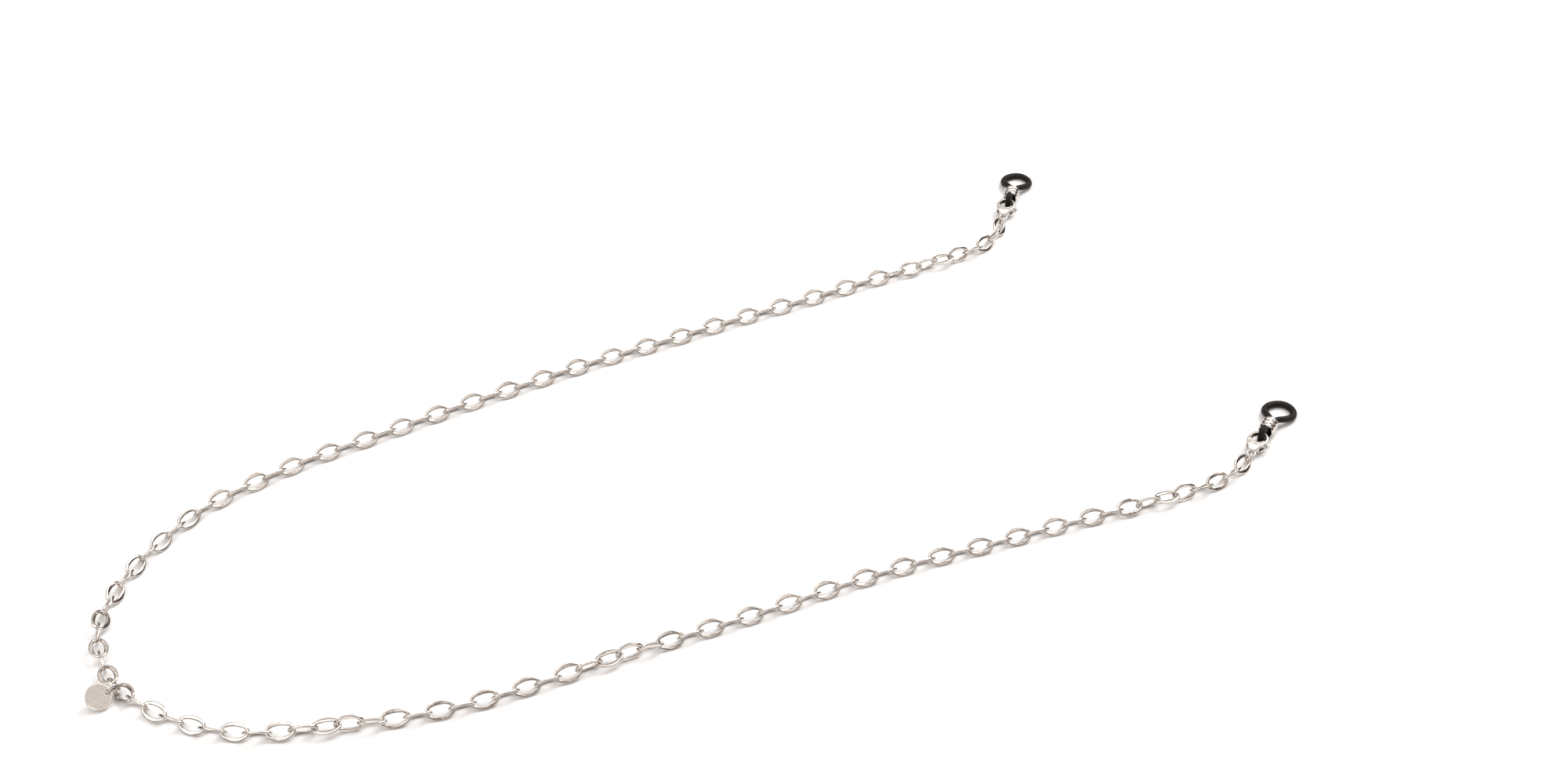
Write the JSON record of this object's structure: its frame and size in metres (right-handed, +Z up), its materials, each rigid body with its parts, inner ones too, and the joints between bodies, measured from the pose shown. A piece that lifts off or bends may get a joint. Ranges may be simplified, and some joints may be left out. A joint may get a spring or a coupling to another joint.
{
  "type": "eyeglasses chain strap",
  "caption": "Metal link chain for hanging glasses from the neck, with a middle ring and tag, and at each end a lobster clasp, rubber temple loop and ribbed slide bead.",
  "frame": {"origin": "centre of the laid-out strap's box, on the surface that it lies on", "axes": "+Z up from the table, +X along the layout's long side, with the clasps towards +X and +Y"},
  "size_m": [0.3192, 0.2582, 0.006],
  "materials": {
    "chain_links": "polished nickel plate",
    "rings": "polished nickel plate",
    "tag": "satin nickel plate",
    "clasps": "satin-polished nickel plate",
    "rivets": "plain steel",
    "springs": "spring steel",
    "beads": "polished nickel plate",
    "rubber": "matt silicone rubber"
  },
  "bodies": {
    "middle": {"middle_ring": "rings"},
    "tag_link": {"tag_ring": "rings"},
    "tag": {"tag_disc": "tag"},
    "left_chain_01": {"left_chain_01": "chain_links"},
    "left_chain_02": {"left_chain_02": "chain_links"},
    "left_chain_03": {"left_chain_03": "chain_links"},
    "left_chain_04": {"left_chain_04": "chain_links"},
    "left_chain_05": {"left_chain_05": "chain_links"},
    "left_chain_06": {"left_chain_06": "chain_links"},
    "left_chain_07": {"left_chain_07": "chain_links"},
    "left_chain_08": {"left_chain_08": "chain_links"},
    "left_chain_09": {"left_chain_09": "chain_links"},
    "left_chain_10": {"left_chain_10": "chain_links"},
    "left_chain_11": {"left_chain_11": "chain_links"},
    "left_chain_12": {"left_chain_12": "chain_links"},
    "left_chain_13": {"left_chain_13": "chain_links"},
    "left_chain_14": {"left_chain_14": "chain_links"},
    "left_chain_15": {"left_chain_15": "chain_links"},
    "left_chain_16": {"left_chain_16": "chain_links"},
    "left_chain_17": {"left_chain_17": "chain_links"},
    "left_chain_18": {"left_chain_18": "chain_links"},
    "left_chain_19": {"left_chain_19": "chain_links"},
    "left_chain_20": {"left_chain_20": "chain_links"},
    "left_chain_21": {"left_chain_21": "chain_links"},
    "left_end_ring": {"left_end_ring": "rings"},
    "left_clasp": {"left_clasp_body": "clasps", "left_clasp_rivet": "rivets", "left_clasp_spring": "springs"},
    "left_lever": {"left_clasp_lever": "clasps"},
    "left_loop": {"left_temple_loop": "rubber"},
    "left_bead": {"left_slide_bead": "beads"},
    "right_chain_01": {"right_chain_01": "chain_links"},
    "right_chain_02": {"right_chain_02": "chain_links"},
    "right_chain_03": {"right_chain_03": "chain_links"},
    "right_chain_04": {"right_chain_04": "chain_links"},
    "right_chain_05": {"right_chain_05": "chain_links"},
    "right_chain_06": {"right_chain_06": "chain_links"},
    "right_chain_07": {"right_chain_07": "chain_links"},
    "right_chain_08": {"right_chain_08": "chain_links"},
    "right_chain_09": {"right_chain_09": "chain_links"},
    "right_chain_10": {"right_chain_10": "chain_links"},
    "right_chain_11": {"right_chain_11": "chain_links"},
    "right_chain_12": {"right_chain_12": "chain_links"},
    "right_chain_13": {"right_chain_13": "chain_links"},
    "right_chain_14": {"right_chain_14": "chain_links"},
    "right_chain_15": {"right_chain_15": "chain_links"},
    "right_chain_16": {"right_chain_16": "chain_links"},
    "right_chain_17": {"right_chain_17": "chain_links"},
    "right_chain_18": {"right_chain_18": "chain_links"},
    "right_chain_19": {"right_chain_19": "chain_links"},
    "right_chain_20": {"right_chain_20": "chain_links"},
    "right_end_ring": {"right_end_ring": "rings"},
    "right_clasp": {"right_clasp_body": "clasps", "right_clasp_rivet": "rivets", "right_clasp_spring": "springs"},
    "right_lever": {"right_clasp_lever": "clasps"},
    "right_loop": {"right_temple_loop": "rubber"},
    "right_bead": {"right_slide_bead": "beads"}
  },
  "joints": [
    {"name": "tag_ring_swing", "type": "hinge", "parent": "middle", "child": "tag_link", "pos_m": [-0.1485, -0.11315, 0.00312], "axis": [0.6005, -0.1993, -0.7744], "range_deg": [-15, 15]},
    {"name": "tag_swing", "type": "hinge", "parent": "tag_link", "child": "tag", "pos_m": [-0.14996, -0.11478, 0.00312], "axis": [0.332, -0.6243, 0.7071], "range_deg": [-15, 15]},
    {"name": "left_chain_01_lift", "type": "hinge", "parent": "middle", "child": "left_chain_01", "pos_m": [-0.14978, -0.11009, 0.0026], "axis": [0.8634, 0.5045, 0], "range_deg": [-20, 24]},
    {"name": "left_chain_02_bend", "type": "hinge", "parent": "left_chain_01", "child": "left_chain_02", "pos_m": [-0.15654, -0.0951, 0.00231], "axis": [0, 0, 1], "range_deg": [-12, 24]},
    {"name": "left_chain_03_lift", "type": "hinge", "parent": "left_chain_02", "child": "left_chain_03", "pos_m": [-0.15666, -0.07877, 0.00193], "axis": [-0.983, 0.1838, 0], "range_deg": [-24, 24]},
    {"name": "left_chain_04_bend", "type": "hinge", "parent": "left_chain_03", "child": "left_chain_04", "pos_m": [-0.15206, -0.06295, 0.00184], "axis": [0, 0, -1], "range_deg": [-24, 20]},
    {"name": "left_chain_05_lift", "type": "hinge", "parent": "left_chain_04", "child": "left_chain_05", "pos_m": [-0.14424, -0.04843, 0.00184], "axis": [0.847, -0.5315, 0], "range_deg": [-24, 24]},
    {"name": "left_chain_06_bend", "type": "hinge", "parent": "left_chain_05", "child": "left_chain_06", "pos_m": [-0.13378, -0.03577, 0.00184], "axis": [0, 0, 1], "range_deg": [-24, 24]},
    {"name": "left_chain_07_lift", "type": "hinge", "parent": "left_chain_06", "child": "left_chain_07", "pos_m": [-0.12106, -0.02526, 0.00184], "axis": [-0.6144, 0.789, 0], "range_deg": [-24, 24]},
    {"name": "left_chain_08_bend", "type": "hinge", "parent": "left_chain_07", "child": "left_chain_08", "pos_m": [-0.10747, -0.01593, 0.00184], "axis": [0, 0, -1], "range_deg": [-24, 24]},
    {"name": "left_chain_09_lift", "type": "hinge", "parent": "left_chain_08", "child": "left_chain_09", "pos_m": [-0.0934, -0.0073, 0.00184], "axis": [0.534, -0.8455, 0], "range_deg": [-24, 24]},
    {"name": "left_chain_10_bend", "type": "hinge", "parent": "left_chain_09", "child": "left_chain_10", "pos_m": [-0.07947, 0.00154, 0.00184], "axis": [0, 0, 1], "range_deg": [-24, 24]},
    {"name": "left_chain_11_lift", "type": "hinge", "parent": "left_chain_10", "child": "left_chain_11", "pos_m": [-0.06531, 0.01, 0.00184], "axis": [-0.5048, 0.8632, 0], "range_deg": [-24, 24]},
    {"name": "left_chain_12_bend", "type": "hinge", "parent": "left_chain_11", "child": "left_chain_12", "pos_m": [-0.05107, 0.01834, 0.00184], "axis": [0, 0, -1], "range_deg": [-24, 24]},
    {"name": "left_chain_13_lift", "type": "hinge", "parent": "left_chain_12", "child": "left_chain_13", "pos_m": [-0.03673, 0.0265, 0.00184], "axis": [0.4704, -0.8824, 0], "range_deg": [-24, 24]},
    {"name": "left_chain_14_bend", "type": "hinge", "parent": "left_chain_13", "child": "left_chain_14", "pos_m": [-0.02203, 0.03399, 0.00184], "axis": [0, 0, 1], "range_deg": [-24, 24]},
    {"name": "left_chain_15_lift", "type": "hinge", "parent": "left_chain_14", "child": "left_chain_15", "pos_m": [-0.00749, 0.04178, 0.00184], "axis": [-0.477, 0.8789, 0], "range_deg": [-24, 24]},
    {"name": "left_chain_16_bend", "type": "hinge", "parent": "left_chain_15", "child": "left_chain_16", "pos_m": [0.00715, 0.04941, 0.00184], "axis": [0, 0, -1], "range_deg": [-24, 24]},
    {"name": "left_chain_17_lift", "type": "hinge", "parent": "left_chain_16", "child": "left_chain_17", "pos_m": [0.02191, 0.05678, 0.00184], "axis": [0.4599, -0.888, 0], "range_deg": [-24, 24]},
    {"name": "left_chain_18_bend", "type": "hinge", "parent": "left_chain_17", "child": "left_chain_18", "pos_m": [0.03649, 0.0645, 0.00184], "axis": [0, 0, 1], "range_deg": [-24, 24]},
    {"name": "left_chain_19_lift", "type": "hinge", "parent": "left_chain_18", "child": "left_chain_19", "pos_m": [0.05128, 0.07181, 0.00193], "axis": [-0.4344, 0.9007, 0], "range_deg": [-24, 24]},
    {"name": "left_chain_20_bend", "type": "hinge", "parent": "left_chain_19", "child": "left_chain_20", "pos_m": [0.06613, 0.07901, 0.00232], "axis": [0, 0, -1], "range_deg": [-14, 22]},
    {"name": "left_chain_21_lift", "type": "hinge", "parent": "left_chain_20", "child": "left_chain_21", "pos_m": [0.07888, 0.08918, 0.00193], "axis": [0.8242, -0.5663, 0], "range_deg": [-22, 24]},
    {"name": "left_end_ring_swing", "type": "hinge", "parent": "left_chain_21", "child": "left_end_ring", "pos_m": [0.08304, 0.09928, 0.00165], "axis": [0, 0, 1], "range_deg": [-24, 15]},
    {"name": "left_clasp_swing", "type": "hinge", "parent": "left_end_ring", "child": "left_clasp", "pos_m": [0.0837, 0.1019, 0.00157], "axis": [0, 0, 1], "range_deg": [-24, 24]},
    {"name": "left_lever_open", "type": "hinge", "parent": "left_clasp", "child": "left_lever", "pos_m": [0.08332, 0.10597, 0.00222], "axis": [0.0378, 0.1518, -0.9877], "range_deg": [0, 18], "stiffness_Nm_per_rad": 0.002, "springref_deg": -22.92},
    {"name": "left_loop_swing", "type": "hinge", "parent": "left_clasp", "child": "left_loop", "pos_m": [0.08573, 0.1084, 0.0027], "axis": [-0.0378, -0.1518, 0.9877], "range_deg": [-21, 17]},
    {"name": "left_bead_slide", "type": "slide", "parent": "left_loop", "child": "left_bead", "axis": [0.2419, 0.9703, 0], "range_m": [0, 0.001]},
    {"name": "right_chain_01_lift", "type": "hinge", "parent": "middle", "child": "right_chain_01", "pos_m": [-0.14798, -0.11149, 0.0015], "axis": [-0.7171, -0.6969, 0], "range_deg": [-24, 2]},
    {"name": "right_chain_02_bend", "type": "hinge", "parent": "right_chain_01", "child": "right_chain_02", "pos_m": [-0.13502, -0.12152, 0.0019], "axis": [0, 0, 1], "range_deg": [-24, 16]},
    {"name": "right_chain_03_lift", "type": "hinge", "parent": "right_chain_02", "child": "right_chain_03", "pos_m": [-0.11946, -0.12678, 0.00184], "axis": [0.1544, 0.988, 0], "range_deg": [-24, 24]},
    {"name": "right_chain_04_bend", "type": "hinge", "parent": "right_chain_03", "child": "right_chain_04", "pos_m": [-0.10301, -0.12668, 0.00218], "axis": [0, 0, -1], "range_deg": [-18, 24]},
    {"name": "right_chain_05_lift", "type": "hinge", "parent": "right_chain_04", "child": "right_chain_05", "pos_m": [-0.0867, -0.12419, 0.00237], "axis": [0.179, -0.9838, 0], "range_deg": [-12, 20]},
    {"name": "right_chain_06_bend", "type": "hinge", "parent": "right_chain_05", "child": "right_chain_06", "pos_m": [-0.07067, -0.12033, 0.00184], "axis": [0, 0, 1], "range_deg": [-24, 20]},
    {"name": "right_chain_07_lift", "type": "hinge", "parent": "right_chain_06", "child": "right_chain_07", "pos_m": [-0.05518, -0.1147, 0.00184], "axis": [-0.4002, 0.9164, 0], "range_deg": [-24, 24]},
    {"name": "right_chain_08_bend", "type": "hinge", "parent": "right_chain_07", "child": "right_chain_08", "pos_m": [-0.04029, -0.10759, 0.00184], "axis": [0, 0, -1], "range_deg": [-24, 24]},
    {"name": "right_chain_09_lift", "type": "hinge", "parent": "right_chain_08", "child": "right_chain_09", "pos_m": [-0.02553, -0.10021, 0.00237], "axis": [0.4341, -0.9009, 0], "range_deg": [-14, 20]},
    {"name": "right_chain_10_bend", "type": "hinge", "parent": "right_chain_09", "child": "right_chain_10", "pos_m": [-0.0106, -0.09318, 0.00194], "axis": [0, 0, 1], "range_deg": [-24, 24]},
    {"name": "right_chain_11_lift", "type": "hinge", "parent": "right_chain_10", "child": "right_chain_11", "pos_m": [0.00434, -0.08619, 0.00184], "axis": [-0.4269, 0.9043, 0], "range_deg": [-24, 24]},
    {"name": "right_chain_12_bend", "type": "hinge", "parent": "right_chain_11", "child": "right_chain_12", "pos_m": [0.01911, -0.07884, 0.00184], "axis": [0, 0, -1], "range_deg": [-24, 24]},
    {"name": "right_chain_13_lift", "type": "hinge", "parent": "right_chain_12", "child": "right_chain_13", "pos_m": [0.03385, -0.07141, 0.00184], "axis": [0.4236, -0.9059, 0], "range_deg": [-24, 24]},
    {"name": "right_chain_14_bend", "type": "hinge", "parent": "right_chain_13", "child": "right_chain_14", "pos_m": [0.04893, -0.06474, 0.00184], "axis": [0, 0, 1], "range_deg": [-24, 24]},
    {"name": "right_chain_15_lift", "type": "hinge", "parent": "right_chain_14", "child": "right_chain_15", "pos_m": [0.06427, -0.05866, 0.00184], "axis": [-0.3577, 0.9338, 0], "range_deg": [-24, 24]},
    {"name": "right_chain_16_bend", "type": "hinge", "parent": "right_chain_15", "child": "right_chain_16", "pos_m": [0.07961, -0.05257, 0.00184], "axis": [0, 0, -1], "range_deg": [-24, 24]},
    {"name": "right_chain_17_lift", "type": "hinge", "parent": "right_chain_16", "child": "right_chain_17", "pos_m": [0.09492, -0.04643, 0.00184], "axis": [0.3608, -0.9327, 0], "range_deg": [-24, 24]},
    {"name": "right_chain_18_bend", "type": "hinge", "parent": "right_chain_17", "child": "right_chain_18", "pos_m": [0.11035, -0.04058, 0.00229], "axis": [0, 0, 1], "range_deg": [-20, 24]},
    {"name": "right_chain_19_lift", "type": "hinge", "parent": "right_chain_18", "child": "right_chain_19", "pos_m": [0.12564, -0.03442, 0.00229], "axis": [-0.4484, 0.8938, 0], "range_deg": [-22, 12]},
    {"name": "right_chain_20_bend", "type": "hinge", "parent": "right_chain_19", "child": "right_chain_20", "pos_m": [0.13903, -0.02492, 0.00184], "axis": [0, 0, -1], "range_deg": [-18, 24]},
    {"name": "right_end_ring_swing", "type": "hinge", "parent": "right_chain_20", "child": "right_end_ring", "pos_m": [0.14223, -0.02047, 0.00165], "axis": [0, 0, 1], "range_deg": [-24, 11]},
    {"name": "right_clasp_swing", "type": "hinge", "parent": "right_end_ring", "child": "right_clasp", "pos_m": [0.1435, -0.01808, 0.00157], "axis": [0, 0, 1], "range_deg": [-24, 24]},
    {"name": "right_lever_open", "type": "hinge", "parent": "right_clasp", "child": "right_lever", "pos_m": [0.14412, -0.01404, 0.00222], "axis": [0.0734, 0.1381, -0.9877], "range_deg": [0, 18], "stiffness_Nm_per_rad": 0.002, "springref_deg": -22.92},
    {"name": "right_loop_swing", "type": "hinge", "parent": "right_clasp", "child": "right_loop", "pos_m": [0.14705, -0.01227, 0.0027], "axis": [-0.0734, -0.1381, 0.9877], "range_deg": [-21, 17]},
    {"name": "right_bead_slide", "type": "slide", "parent": "right_loop", "child": "right_bead", "axis": [0.4695, 0.8829, 0], "range_m": [0, 0.001]}
  ]
}
